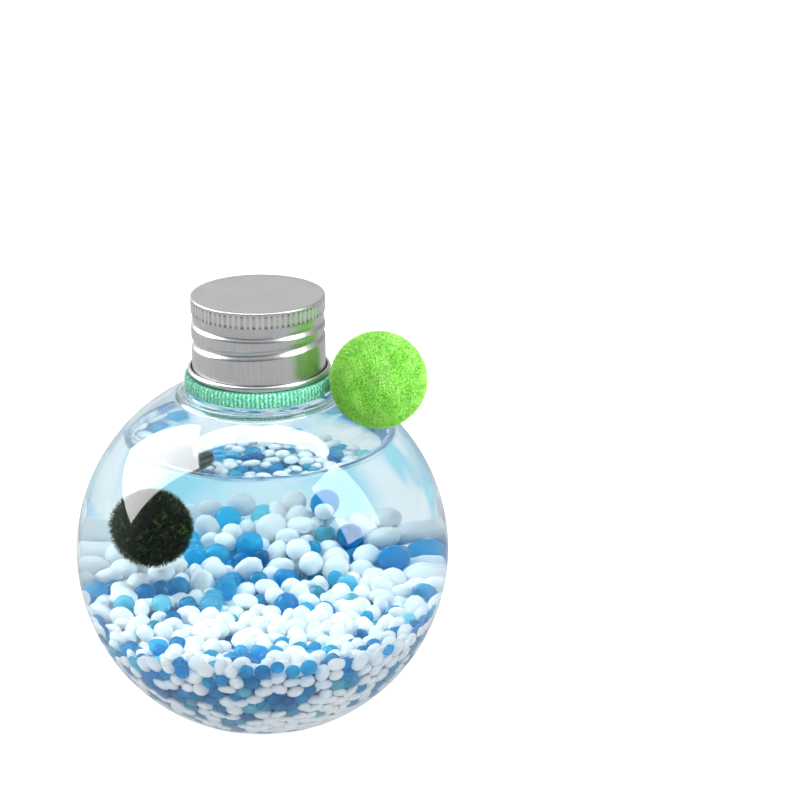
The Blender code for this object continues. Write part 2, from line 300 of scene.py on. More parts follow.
# %% The node calls
class Recipe:
    """A node tree, and the calls that add nodes to it."""

    def __init__(self, tree):
        self.tree = tree

    def feed(self, socket, value):
        """Gives any input socket a constant or a link."""
        if isinstance(value, Wire):
            self.tree.links.new(value.socket, socket)
        elif isinstance(value, tuple) and socket.type == "RGBA" and len(value) == 3:
            socket.default_value = (*value, 1.0)
        else:
            socket.default_value = value

    def node(self, kind, settings=None, inputs=None, output=0):
        """Adds a node: its settings first, then its inputs by name or number; returns one output."""
        made = self.tree.nodes.new(kind)
        for setting, value in (settings or {}).items():
            if setting == "stops":
                ramp = made.color_ramp
                while len(ramp.elements) < len(value):
                    ramp.elements.new(1.0)
                for element, (place, colour) in zip(ramp.elements, value):
                    element.position = place
                    element.color = (*colour, 1.0)
            else:
                setattr(made, setting, value)
        for socket, value in (inputs or {}).items():
            self.feed(made.inputs[socket], value)
        return Wire(self, made.outputs[output])

    def place(self, scale=(1.0, 1.0, 1.0), centre=(0.0, 0.0, 0.0)):
        """Object coordinates, measured from a centre and stretched."""
        where = self.node("ShaderNodeTexCoord", output="Object")
        moved = self.node("ShaderNodeVectorMath", {"operation": "SUBTRACT"}, {0: where, 1: centre})
        return self.node("ShaderNodeVectorMath", {"operation": "MULTIPLY"}, {0: moved, 1: scale})

    def noise(self, where, scale, detail, roughness=0.5):
        """Smooth noise from 0 to 1."""
        inputs = {"Vector": where, "Scale": scale, "Detail": detail, "Roughness": roughness}
        return self.node("ShaderNodeTexNoise", {}, inputs)

    def tone(self, name):
        """A named value that the mesh carries at each point."""
        return self.node("ShaderNodeAttribute", {"attribute_name": name}, output="Fac")

    def ramp(self, value, *stops):
        """A colour for each value, through (place, colour) stops."""
        return self.node("ShaderNodeValToRGB", {"stops": stops}, {"Fac": value})

    def blend(self, share, first, second):
        """Two colours mixed by a share."""
        return self.node("ShaderNodeMix", {"data_type": "RGBA"}, {0: share, 6: first, 7: second}, 2)

    def light_path(self):
        """Four values from 0 to 1 that tell how a ray came here.

        They are 1 for a ray straight from the camera, for one last mirrored, for one last passed
        through something clear, and for one that gathers light for a matt surface.
        """
        seen = self.node("ShaderNodeLightPath", output="Is Camera Ray")
        through = seen.also("Is Transmission Ray")
        mirrored = seen.also("Is Glossy Ray") * (1 - through)
        return seen, mirrored, through, seen.also("Diffuse Depth").spread(0.0, 1.0)


print("a recipe has", len([call for call in vars(Recipe) if not call.startswith("_")]), "calls")

# %% [markdown]
# A finish is the recipe of one material. It begins with Blender's Principled shader, which covers metal,
# plastic, cloth and glass with one set of sockets.

# %% A material
class Finish(Recipe):
    """One material, with its Principled shader."""

    def __init__(self, name, **shader_values):
        """Constants come as keywords; an underscore stands for the blank in a socket's name."""
        self.material = bpy.data.materials.new(name)
        self.material.use_nodes = True
        super().__init__(self.material.node_tree)
        self.shader = self.tree.nodes["Principled BSDF"]
        self.shaded = Wire(self, self.shader.outputs[0])
        for socket, value in shader_values.items():
            self.set(socket.replace("_", " "), value)

    def set(self, socket, value):
        """Gives a socket of the Principled shader a constant or a link."""
        self.feed(self.shader.inputs[socket], value)

    def relief(self, height, depth, strength):
        """A Bump node on the Normal socket, depth in metres."""
        inputs = {"Height": height, "Distance": depth, "Strength": strength}
        self.set("Normal", self.node("ShaderNodeBump", {}, inputs))

    def finish_with(self, shader, end="Surface"):
        """Links a shader to the material's output."""
        self.tree.links.new(shader.socket, self.tree.nodes["Material Output"].inputs[end])


print("a finish adds", [call for call in vars(Finish) if not call.startswith("_")])

# %% [markdown]
# ## The jar
# The real jar is blown from clear plastic: an even wall of just under a millimetre, a ball that rounds
# into a flat foot with its middle pushed up, a stepped shoulder, and a neck with a raised thread. It could
# be a sphere with a Solidify modifier, but then the foot, the step and the neck would all be extra work.
# One outline, up the outside and down the inside, gives all of it as a single closed wall.

# %% The jar's outline
def foot_arc(inset):
    """The fillet from the flat foot into the ball, and the angle where it meets the ball.

    The fillet's middle lies FOOT_FILLET high and as far out as makes it touch the ball: the root of
    (ball less fillet) squared less (the middles' difference in height) squared.
    """
    ball = BALL_RADIUS - FOOT_FILLET
    rise = BALL_CENTRE - FOOT_FILLET
    reach = math.sqrt(ball ** 2 - rise ** 2)
    end = math.degrees(math.atan2(reach, rise))
    return arc(reach, FOOT_FILLET, FOOT_FILLET - inset, 0.0, end, 3.0), end


def angle_at_radius(radius, ball):
    """Angle from straight down, on a ball's upper half, where its radius is the given one."""
    return 180.0 - math.degrees(math.asin(radius / ball))


def base(lift):
    """The pushed-up base from the axis out to the foot, lifted by a distance."""
    corners = [(0.0, PUSH_UP), (5.0 * MM, 0.85 * PUSH_UP), (9.0 * MM, 0.25 * PUSH_UP), (FOOT_INNER, 0.0)]
    return rounded(np.array(corners) + [0.0, lift], 2.0 * MM)


def jar_outline():
    """The wall's section: base, foot, ball, step, shelf, collar, neck, mouth, then back down inside."""
    fillet, foot_end = foot_arc(0.0)
    inner_fillet = foot_arc(WALL)[0]
    outer_ball = arc(0.0, BALL_CENTRE, BALL_RADIUS, foot_end, angle_at_radius(STEP_RADIUS, BALL_RADIUS))
    step = rounded([
        outer_ball[-1],
        (STEP_RADIUS + 0.05 * MM, SHELF_HEIGHT - 0.55 * MM),
        (STEP_RADIUS - 0.45 * MM, SHELF_HEIGHT - 0.5 * MM),
        (STEP_RADIUS - 0.5 * MM, SHELF_HEIGHT),
        (COLLAR_RADIUS, SHELF_HEIGHT),
        (COLLAR_RADIUS, COLLAR_TOP),
        (NECK_RADIUS, COLLAR_TOP + 0.5 * MM),
    ], 0.25 * MM)
    thread = straight((NECK_RADIUS, COLLAR_TOP + 0.5 * MM), (NECK_RADIUS, LEVEL_GROOVE), 0.2 * MM)
    mouth = rounded([
        (NECK_RADIUS, LEVEL_GROOVE),
        (NECK_RADIUS, MOUTH_HEIGHT),
        (BORE_RADIUS, MOUTH_HEIGHT),
        (BORE_RADIUS, SHELF_HEIGHT + 2.8 * MM),
    ], 0.4 * MM)
    inner_ball = arc(0.0, BALL_CENTRE, INNER_BALL, angle_at_radius(14.6 * MM, INNER_BALL), foot_end)
    throat = rounded([
        (BORE_RADIUS, SHELF_HEIGHT + 2.8 * MM),
        (BORE_RADIUS + 0.6 * MM, SHELF_HEIGHT + 0.2 * MM),
        (BORE_RADIUS + 2.2 * MM, SHELF_HEIGHT - 0.75 * MM),
        inner_ball[0],
    ], 1.5 * MM)
    runs = (base(0.0), fillet, outer_ball, step, thread, mouth, throat, inner_ball, inner_fillet[::-1])
    return joined(*runs, base(WALL)[::-1])


def neck_thread(radius, height, angle):
    """Raises the neck's ridge by one millimetre, half a pitch below the cap's groove."""
    on_neck = np.abs(radius - NECK_RADIUS) < 0.01 * MM
    ridge = helix_bump(height, angle, GROOVE_START - THREAD_PITCH / 2, -0.35, 0.85, 0.9 * MM)
    return radius + 1.0 * MM * ridge * on_neck, height


# %% [markdown]
# ## Where plastic meets water
# Light bends by the ratio of the two indices at a boundary. Outside, that is plastic to air. Inside, below
# the waterline, it is plastic to water, which bends and mirrors far less: that is why a wet glass looks
# clearer than a dry one. A shader knows only one index, counted as if air lay on the other side, so the
# wetted part of the inner wall gets a material of its own with the ratio of plastic to water. The water's
# own skin along the wall then has nothing left to bend, and only its free surface has water's index.

# %% Clear plastic and the jar
JAR_STEPS = 192
PLASTIC_INDEX = 1.575
WATER_INDEX = 1.333
WATERLINE = WATER_LEVEL + MENISCUS


def clear_plastic(name, index):
    """Clear blown plastic: full transmission, with the faint waviness of a blown wall."""
    look = Finish(name, Base_Color=(0.94, 0.98, 1.0), Transmission_Weight=1.0, IOR=index, Roughness=0.0)
    waviness = look.noise(look.place(), 90.0, 1.0)
    look.relief(waviness, 0.05 * MM, 0.25)
    return look.material


def rows_to_faces(chosen, steps, first_fan, last_fan):
    """Which faces of an open turned surface lie between two chosen rows; the two fans are given."""
    rows = chosen[1:-2] & chosen[2:-1]
    return np.concatenate([np.repeat(rows, steps), np.full(steps, first_fan), np.full(steps, last_fan)])


outline = jar_outline()
past_mouth = np.arange(len(outline)) > outline[:, 1].argmax()
wetted = rows_to_faces(past_mouth & (outline[:, 1] < WATERLINE), JAR_STEPS, False, True)
points, faces = turn(outline, JAR_STEPS, neck_thread)
wet_look = clear_plastic("wetted_plastic", PLASTIC_INDEX / WATER_INDEX)
dry_look = clear_plastic("clear_plastic", PLASTIC_INDEX)
make_piece("clear_jar", points, faces, dry_look, "jar", "jar", second=(wet_look, wetted))
print(f"{wetted.mean():.0%} of the wall's faces are wet")

# %% [markdown]
# ## The water
# The water fills the jar nearly up to its shoulder and turns up at the wall in a small meniscus. The thin
# dark line at its edge is painted shade: the meniscus is coloured dark blue. Its skin lies a hair inside
# the plastic. Water swallows red light first, so a faint absorption gives its depth an aqua tint.

# %% The water
SKIN = 0.02 * MM
MENISCUS_REACH = 2.4 * MM


def water_outline():
    """From the base up the wall to the meniscus, down its curve and in to the axis.

    The meniscus falls from the wall by its height times 1 - (1 - t)^3, with t from 0 to 1 over its reach.
    """
    ball = INNER_BALL - SKIN
    fillet, foot_end = foot_arc(WALL + SKIN)
    last = 180.0 - math.degrees(math.acos((WATERLINE - BALL_CENTRE) / ball))
    wall = arc(0.0, BALL_CENTRE, ball, foot_end, last)
    edge = wall[-1, 0]
    t = np.linspace(0.0, 1.0, 12)[:, None]
    meniscus = np.concatenate([edge - MENISCUS_REACH * t, WATERLINE - MENISCUS * (1 - (1 - t) ** 3)], 1)
    surface = straight((edge - MENISCUS_REACH, WATER_LEVEL), (0.0, WATER_LEVEL), 2.0 * MM)
    return joined(base(WALL + SKIN), fillet, wall, meniscus, surface)


def clear_water():
    """Water: no bending along the wall, its own index on the free surface, painted dark blue shade on the
    meniscus, a faint aqua.
    """
    white = (1.0, 1.0, 1.0)
    look = Finish("clear_water", Transmission_Weight=1.0, IOR=1.0, Roughness=0.0, Base_Color=white)
    height = look.node("ShaderNodeSeparateXYZ", {}, {"Vector": look.place()}, "Z")
    # painted shade: the meniscus band just above the water level is coloured dark blue
    edge = height.spread(WATER_LEVEL + 0.1 * MENISCUS, WATER_LEVEL + 0.6 * MENISCUS)
    ripples = {"Height": look.noise(look.place(), 60.0, 1.0), "Distance": 0.02 * MM}
    surface = look.node("ShaderNodeBsdfPrincipled", {}, {
        "Base Color": look.blend(edge, white, (0.04, 0.16, 0.30)),
        "Transmission Weight": 1.0,
        "IOR": WATER_INDEX,
        "Roughness": 0.0,
        "Normal": look.node("ShaderNodeBump", {}, ripples),
    })
    look.finish_with(look.node("ShaderNodeMixShader", {}, {0: look.tone("free"), 1: look.shaded, 2: surface}))
    depth = look.node("ShaderNodeVolumeAbsorption", {}, {"Color": (0.05, 0.70, 0.85), "Density": 2.5})
    look.finish_with(depth, "Volume")
    return look.material


outline = water_outline()
points, faces = turn(outline, JAR_STEPS)
edge_radius = outline[outline[:, 1].argmax(), 0]
inside_edge = np.hypot(points[:, 0], points[:, 1]) < edge_radius + 0.01 * MM
free = (points[:, 2] > WATER_LEVEL - 0.01 * MM) & inside_edge
make_piece("water_body", points, faces, clear_water(), "jar", "water", {"free": free})

# %% [markdown]
# ## The bed of pebbles and beads
# About three thousand tumbled grains fill the jar's lower half: two in three are white pebbles, the
# others clear blue glass. A rigid-body simulation could drop them in, but it is slow and its result
# is hard to steer. Here each grain is first a ball. All balls start at random places, and in each round
# every pair that overlaps moves apart, every ball slides down a little, and the jar's wall, the moss ball
# and the bed's hilly top push them back. After a few hundred rounds they lie packed as real ones do.

# %% Where the grains may lie
# Each row is a hill's place x and y, its rise and its spread.
BED_HILLS = np.array([
    (-17.6, 12.4, 1.5, 9.0),
    (2.0, -38.0, 1.8, 10.0),
    (-33.0, -18.0, -5.0, 9.0),
    (26.0, 26.0, -2.0, 10.0),
    (2.0, 38.0, 4.0, 10.0),
]) * MM


def bed_height(x, y):
    """The bed's top: a level plus one Gaussian hill for each row of x, y, rise and spread."""
    height = np.full(np.shape(x), BED_LEVEL)
    for hill_x, hill_y, rise, spread in BED_HILLS:
        height = height + rise * np.exp(-0.5 * ((x - hill_x) ** 2 + (y - hill_y) ** 2) / spread ** 2)
    return height


def floor_height(x, y):
    """The inside of the base: WALL plus PUSH_UP times 1 - (distance / FOOT_INNER)^2, and flat round it."""
    across = np.hypot(x, y) / FOOT_INNER
    return WALL + PUSH_UP * np.clip(1 - across ** 2, 0.0, 1.0)


print("the bed's top lies", (bed_height(0.0, np.array([-30, 0, 30]) * MM) / MM).round(1), "mm up")

# %% [markdown]
# How many grains fit is worked out from the bed's volume: of many random points in a box round the jar,
# the share that falls inside the bed gives its volume, and packed balls fill not quite two thirds of it.

# %% How many grains
MEAN_RADIUS = 1.52 * MM
SIZE_SPREAD = 0.13
PACKING = 0.635
BED_CEILING = 32 * MM
TRIALS = 200000
MOST_GRAINS = 4000

random = np.random.default_rng(20)
trial = random.uniform(-1, 1, (TRIALS, 3)) * [INNER_BALL, INNER_BALL, 1]
trial[:, 2] = random.uniform(0, BED_CEILING, TRIALS)
inside = np.linalg.norm(trial - [0, 0, BALL_CENTRE], axis=1) < INNER_BALL
inside &= trial[:, 2] < bed_height(trial[:, 0], trial[:, 1])
inside &= trial[:, 2] > floor_height(trial[:, 0], trial[:, 1])
bed_volume = inside.mean() * (2 * INNER_BALL) ** 2 * BED_CEILING
radii = MEAN_RADIUS * np.clip(random.normal(1.0, SIZE_SPREAD, MOST_GRAINS), 0.72, 1.32)
count = int(np.searchsorted(np.cumsum(4 / 3 * np.pi * radii ** 3), PACKING * bed_volume))
radii = radii[:count]
centres = trial[inside][:count]
print(f"bed of {bed_volume * 1e6:.0f} ml takes {count} grains")

# %% [markdown]
# The packing itself is three steps: find the pairs that are close, push each overlapping pair apart, and
# keep every ball inside the bed. The whole list moves at once, so a round takes a few hundredths of a second.

# %% Packing the grains
ROUNDS = 320
SLIDE = 0.02 * MM  # down in each round
WALL_PLAY = 0.08 * MM
MOSS_GIVE = 0.5 * MM  # how far a grain may press into the moss


def near_pairs(places, sizes, margin):
    """Numbers of every two balls whose surfaces are closer than the margin, from the table of distances."""
    square = (places ** 2).sum(1)
    apart = square[:, None] + square[None, :] - 2 * places @ places.T
    reach = sizes[:, None] + sizes[None, :] + margin
    first, second = np.nonzero(apart < reach ** 2)
    return first[first < second], second[first < second]


def hold_inside(places, sizes):
    """Pushes balls back from the wall, the base, the bed's top and the moss ball."""
    from_centre = places - [0, 0, BALL_CENTRE]
    distance = np.linalg.norm(from_centre, axis=1)
    limit = INNER_BALL - WALL_PLAY - sizes
    out = distance > limit
    places[out] = [0, 0, BALL_CENTRE] + from_centre[out] * (limit / distance)[out, None]
    places[:, 2] = np.maximum(places[:, 2], floor_height(places[:, 0], places[:, 1]) + sizes)
    ceiling = bed_height(places[:, 0], places[:, 1]) - sizes
    high = places[:, 2] > ceiling
    places[high, 2] += 0.5 * (ceiling - places[:, 2])[high]
    from_moss = places - MOSS_CENTRE
    distance = np.linalg.norm(from_moss, axis=1)
    least = MOSS_RADIUS - MOSS_GIVE + sizes
    near = distance < least
    places[near] = MOSS_CENTRE + from_moss[near] * (least / distance)[near, None]
    return places


def pack(places, sizes, rounds):
    """Moves overlapping balls apart by not quite half their overlap each, round after round."""
    for done in range(rounds):
        if done % 8 == 0:
            first, second = near_pairs(places, sizes, 0.8 * MM)
        between = places[second] - places[first]
        distance = np.maximum(np.linalg.norm(between, axis=1), 1e-9)
        overlap = np.maximum(sizes[first] + sizes[second] - distance, 0.0)
        move = between * (0.45 * overlap / distance)[:, None]
        for axis in range(3):
            places[:, axis] += np.bincount(second, move[:, axis], len(places))
            places[:, axis] -= np.bincount(first, move[:, axis], len(places))
        places[:, 2] -= SLIDE
        places = hold_inside(places, sizes)
    return places, overlap


centres, overlap = pack(centres, radii, ROUNDS)
print(f"deepest overlap left {overlap.max() / MM:.2f} mm, mean {overlap[overlap > 0].mean() / MM:.3f} mm")

# %% [markdown]
# ## Shaping the grains
# A grain repeats some three thousand times, so it has only a few dozen faces and smooth shading does the
# rest. White pebbles are tumbled ovals; the blue ones are rounder, and some are short rods with soft ends.
# All grains of one kind are joined: a template of corner directions is stretched, turned and moved for
# every grain at once.

# %% A ball of few faces
def cube_ball(cells):
    """Directions and faces of a ball made from a cube with cells by cells squares on each side.

    Corner (i, j) of a side lies at (1, tan a, tan b), with a and b from -45 to 45 degrees in equal
    steps, and is then brought to length 1, which keeps the squares nearly equal.
    """
    across = np.tan(np.linspace(-np.pi / 4, np.pi / 4, cells + 1))
    first, second = np.meshgrid(across, across, indexing="ij")
    index = np.arange((cells + 1) ** 2).reshape(cells + 1, cells + 1)
    square = np.stack([index[:-1, :-1], index[1:, :-1], index[1:, 1:], index[:-1, 1:]], 2).reshape(-1, 4)
    points, faces = [], []
    for axis in range(3):
        for sign in (1.0, -1.0):
            side = np.stack([np.full(first.size, sign), first.ravel(), second.ravel()], 1)
            faces.append((square if sign > 0 else square[:, ::-1]) + sum(map(len, points)))
            points.append(np.roll(side, axis, axis=1))
    points, merged = np.unique(np.round(np.concatenate(points), 6), axis=0, return_inverse=True)
    return points / np.linalg.norm(points, axis=1)[:, None], merged.ravel()[np.concatenate(faces)]


GRAIN_BALL = cube_ball(3)
print("a grain has", len(GRAIN_BALL[1]), "faces")

# %% [markdown]
# Real ovals lie flat on what they touch. The directions in which a grain is pressed add up to a table of
# three by three numbers, and its eigenvectors are the grain's axes: the short one where it is pressed
# most, the long one where it has most room.

# %% How the grains lie
SETTLING = 0.6
CONTACT = 0.3 * MM


def pressure(gaps, directions, weight=1.0):
    """Weight times exp(-gap / CONTACT) times the outer product of each direction with itself."""
    weights = weight * np.exp(-np.maximum(gaps, 0.0) / CONTACT)
    return np.einsum("p,pi,pj->pij", weights, directions, directions)


def contact_turns(places, sizes):
    """Rotations whose first axis points where a grain has most room, and last where it is pressed most.

    Each close neighbour adds its pressure, the wall adds twice that, and weight adds SETTLING straight
    down. The eigenvectors of the sum, from the smallest eigenvalue up, are the three axes.
    """
    first, second = near_pairs(places, sizes, 1.0 * MM)
    between = places[second] - places[first]
    distance = np.linalg.norm(between, axis=1)
    press = pressure(distance - sizes[first] - sizes[second], between / distance[:, None])
    total = np.zeros((len(places), 3, 3))
    np.add.at(total, first, press)
    np.add.at(total, second, press)
    out = places - [0, 0, BALL_CENTRE]
    distance = np.linalg.norm(out, axis=1)
    total += pressure(INNER_BALL - distance - sizes, out / distance[:, None], 2.0)
    total[:, 2, 2] += SETTLING
    axes = np.linalg.eigh(total)[1]
    axes[:, :, 0] *= np.sign(np.linalg.det(axes))[:, None]
    return axes


def grains(places, turns, axes, squareness):
    """One joined mesh of many grains.

    A corner direction d becomes sign(d) |d|^squareness, is stretched along the grain's three axes,
    turned by its rotation and moved to its place.
    """
    directions, faces = GRAIN_BALL
    shape = np.sign(directions)[None] * np.abs(directions)[None] ** squareness[:, None, None]
    points = np.einsum("gij,gvj->gvi", turns, shape * axes[:, None, :]) + places[:, None, :]
    offset = (np.arange(len(places)) * len(directions))[:, None, None]
    return points.reshape(-1, 3), [(faces[None] + offset).reshape(-1, 4)]


turns = contact_turns(centres, radii)
slant = np.degrees(np.arccos(np.abs(turns[:, 2, 2])))
print(f"short axes lie {slant.mean():.0f} degrees from upright on average")

# %% [markdown]
# The blue beads are not spread evenly: they were poured in and lie in drifts. A few random sine waves
# through the bed make the chance of blue higher in some places and lower in others.

# %% White pebbles and blue beads
DRIFT_WAVES = 6
DRIFT_TURN = 2.2
DRIFT_SIZE = 10 * MM

waves = random.uniform(-1, 1, (DRIFT_WAVES, 3)) * DRIFT_TURN / DRIFT_SIZE
drift = np.sin(centres @ waves.T + random.uniform(0, math.tau, DRIFT_WAVES)).sum(1) / DRIFT_WAVES
is_blue = random.random(count) < 0.29 + 0.06 * centres[:, 2] / BED_LEVEL + 0.3 * drift
white, blue = np.nonzero(~is_blue)[0], np.nonzero(is_blue)[0]
stretch = random.uniform(0.02, 0.42, len(white))
white_axes = np.stack([1 + stretch, 1 + 0.1 * stretch, 1 / (1 + stretch)], 1) * radii[white, None]
rod = random.random(len(blue)) < 0.35
blue_axes = np.where(rod[:, None], [1.0, 0.88, 0.88], [1.02, 1.0, 0.97]) * radii[blue, None]
blue_square = np.where(rod, 0.72, 0.97)
white_square = random.uniform(0.88, 1.0, len(white))
blue_tone = random.random(len(blue))
white_tone = random.random(len(white))
print(len(white), "white pebbles and", len(blue), "blue beads")

# %% [markdown]
# ## Pebble and glass finishes
# The pebbles are satin white with a faint warm and cool drift from one to the next, so each carries a tone
# of its own. The beads are clear blue glass. They lie in water, so their index is the ratio of glass to
# water: the shader counts every surface as if air were outside it.

# %% Grain materials
def white_pebble():
    """Tumbled white stone: a cloudy white, each pebble a little cooler or warmer."""
    look = Finish("white_pebble", IOR=1.2)
    clouds = look.noise(look.place(), 500.0, 3.0)
    tint = look.ramp(
        look.tone("tone"),
        (0.0, (0.80, 0.86, 0.92)),
        (0.4, (0.89, 0.91, 0.94)),
        (1.0, (0.93, 0.93, 0.925)),
    )
    look.set("Base Color", look.blend(0.25 * clouds, tint, (0.96, 0.96, 0.97)))
    look.set("Roughness", 0.3 + 0.15 * clouds)
    look.relief(look.noise(look.place(), 1500.0, 2.0), 0.02 * MM, 0.4)
    return look.material


def blue_glass():
    """Blue glass under water: 1.5 over water's index; each bead has its own depth of blue."""
    look = Finish("blue_glass", Transmission_Weight=0.72, IOR=1.5 / WATER_INDEX, Coat_Weight=0.4)
    swirl = look.noise(look.place(), 420.0, 2.0)
    look.set("Base Color", look.ramp(
        look.tone("tone") * 0.85 + swirl * 0.3,
        (0.1, (0.0, 0.23, 0.58)),
        (0.35, (0.005, 0.50, 0.92)),
        (0.75, (0.05, 0.71, 1.0)),
        (1.0, (0.32, 0.89, 1.0)),
    ))
    look.set("Roughness", 0.01 + 0.04 * swirl)
    look.relief(look.noise(look.place(), 700.0, 1.0), 0.04 * MM, 0.35)
    return look.material


stone, glass = white_pebble(), blue_glass()
print("finishes:", stone.name, "and", glass.name)

# %% [markdown]
# The white pebbles are two pieces, left and right, because a single one would be too heavy a mesh.

# %% Grain pieces
def grain_piece(name, chosen, axes, squareness, tone, look, slot):
    """One piece of many grains, each with one tone for all its points."""
    points, faces = grains(centres[chosen], turns[chosen], axes, squareness)
    tones = {"tone": np.repeat(tone, len(GRAIN_BALL[0]))}
    make_piece(name, points, faces, look, "jar", "bead_bed", tones)


on_left = centres[white, 0] < 0
for side, here in (("left", on_left), ("right", ~on_left)):
    shaped = white_axes[here], white_square[here], white_tone[here]
    grain_piece(f"white_pebbles_{side}", white[here], *shaped, stone, "white_pebble")
grain_piece("blue_beads", blue, blue_axes, blue_square, blue_tone, glass, "blue_bead")

# %% [markdown]
# ## Fibres
# The moss ball and the pom-pom are both a dense coat of short fibres on a core. Blender's hair would be
# the usual way, but hair curves are lost in an exported model. So every fibre is a slim closed spike with
# three sides and a bend in it, and thousands of them are worked out at once.

# %% Spikes
SPIKE_POINTS = 7
SPIKE_RING = 0.55


def even_directions(count):
    """Directions spread evenly over a ball: heights in equal steps, each a golden angle further round."""
    step = np.arange(count)
    height = 1 - 2 * (step + 0.5) / count
    angle = step * math.pi * (3 - math.sqrt(5))
    across = np.sqrt(1 - height ** 2)
    return np.stack([across * np.cos(angle), across * np.sin(angle), height], 1)


def unit(vectors):
    """Vectors over their own length."""
    return vectors / np.maximum(np.linalg.norm(vectors, axis=-1, keepdims=True), 1e-12)


def spikes(roots, leans, lengths, widths, bends):
    """Closed three-sided spikes: a ring at the root, one at SPIKE_RING, and a tip, ten triangles in all.

    The middle line is root + length (t lean + t^2 bend); a ring's corners lie width times
    (cos, sin) of 0, 120 and 240 degrees from it, across the lean.
    Returns points, faces and how far along its fibre each point is.
    """
    count = len(roots)
    aside = unit(np.cross(leans, unit(random.normal(size=(count, 3)))))
    across = np.cross(leans, aside)
    along = np.array([0.0, SPIKE_RING])
    thick = np.array([1.0, 0.8])
    middle = roots[:, None] + lengths[:, None, None] * (
        along[None, :, None] * leans[:, None] + along[None, :, None] ** 2 * bends[:, None])
    angle = np.arange(3) * math.tau / 3
    ring = np.cos(angle)[:, None] * aside[:, None, None] + np.sin(angle)[:, None] * across[:, None, None]
    rings = middle[:, :, None] + ring * (widths[:, None, None, None] * thick[None, :, None, None])
    tips = roots + lengths[:, None] * (leans + bends)
    points = np.concatenate([rings.reshape(count, 6, 3), tips[:, None]], 1)
    side = [[a, (a + 1) % 3, 3 + (a + 1) % 3, 3 + a] for a in range(3)]
    ends = [[3 + a, 3 + (a + 1) % 3, 6] for a in range(3)] + [[0, 2, 1]]
    offset = (np.arange(count) * SPIKE_POINTS)[:, None, None]
    faces = [(np.array(part)[None] + offset).reshape(-1, len(part[0])) for part in (side, ends)]
    share = np.tile(np.array([0.0] * 3 + [SPIKE_RING] * 3 + [1.0]), count)
    return points.reshape(-1, 3), faces, share


print("a fibre has", SPIKE_POINTS, "points and ten triangles")

# %% [markdown]
# A coat is the fibres of a whole ball, and the core under it hides the gaps between their roots. The core
# is a little lumpy, because a ball of thread is never quite round.

# %% A coat and its core
def coat(centre, radius, core, lengths, lean_spread, bend_spread, widths):
    """Fibres all over a ball: roots on the core, tips no further out than the radius.

    Each fibre leans from its own direction by a random vector, and bends by another.
    Returns points, faces and the tones "along" (0 at the root, 1 at the tip) and "tone" (one a fibre).
    """
    fibres = len(lengths)
    directions = unit(even_directions(fibres) + 0.004 * random.normal(size=(fibres, 3)))
    lean = unit(directions + lean_spread * random.normal(size=directions.shape))
    bend = bend_spread * random.normal(size=directions.shape)
    points, faces, along = spikes(centre + directions * core, lean, lengths, widths, bend)
    reach = np.linalg.norm(points - centre, axis=1)
    points = centre + (points - centre) * np.minimum(1.0, radius / reach)[:, None]
    return points, faces, {"along": along, "tone": np.repeat(random.random(fibres), SPIKE_POINTS)}


def lumpy_ball(centre, radius, lumps, seed):
    """A core: a ball whose radius swells and sinks with the mean of six sine waves of its direction."""
    directions, faces = cube_ball(30)
    wave = np.random.default_rng(seed).normal(size=(6, 3)) * 9
    swell = np.sin(directions @ wave.T + np.arange(6)).mean(1)
    return centre + directions * (radius * (1 + lumps * swell))[:, None], [faces]


def still_tones(points, tone):
    """The same tones as a coat's, but one value for the whole core."""
    return {"along": np.full(len(points), tone), "tone": np.full(len(points), tone)}


print("a core has", len(cube_ball(30)[1]), "faces")

# %% [markdown]
# ## The moss ball
# A marimo is a ball of thread-like algae that grow out from its middle. From a step away it is almost
# black-green, and its rim is a fuzz of fine olive threads that catch the light. So most threads are short,
# and a few long ones stand out of them. Their colour holds painted shade, near black at the roots and on
# the core, and painted light, olive to bright green, at the tips.

# %% Moss
# Each row is a kind of thread: its share, least and most length, half its width, and how far its tip reaches
# from painted shade to painted light.
MOSS_THREADS = 17500
MOSS_KINDS = np.array([
    (0.55, 0.3, 0.8, 0.07, 0.4),
    (0.37, 0.7, 1.2, 0.06, 0.65),
    (0.08, 1.3, 2.1, 0.06, 1.0),
])
MOSS_CORE = MOSS_RADIUS - 1.25 * MM


def moss_look():
    """Painted shade, near black, at the roots and painted light, olive to bright green, at the tips; each
    thread differs a little.
    """
    look = Finish("moss", IOR=1.05, Roughness=0.75)
    patch = look.noise(look.place(centre=tuple(MOSS_CENTRE)), 260.0, 3.0)
    # painted shade at each thread's root and painted light at its tip, through the along tone
    look.set("Base Color", look.ramp(
        look.tone("along") * 0.65 + look.tone("tone") * 0.3 + patch * 0.25,
        (0.3, (0.001, 0.003, 0.001)),
        (0.6, (0.006, 0.016, 0.003)),
        (0.78, (0.05, 0.125, 0.009)),
        (0.95, (0.32, 0.50, 0.06)),
    ))
    return look.material


kind = np.searchsorted(np.cumsum(MOSS_KINDS[:-1, 0]), random.random(MOSS_THREADS))
shortest, longest, width, tip = MOSS_KINDS[kind, 1:].T
lengths = random.uniform(shortest, longest) * MM
points, faces, tones = coat(MOSS_CENTRE, MOSS_RADIUS, MOSS_CORE, lengths, 0.45, 0.4, width * MM)
tones["along"] *= np.repeat(tip, SPIKE_POINTS)
look = moss_look()
make_piece("moss_threads", points, faces, look, "jar", "moss_ball", tones)
# the core's one low tone paints it in the coat's deep shade
points, faces = lumpy_ball(MOSS_CENTRE, MOSS_CORE + 0.1 * MM, 0.04, 3)
make_piece("moss_core", points, faces, look, "jar", "moss_ball", still_tones(points, 0.1))

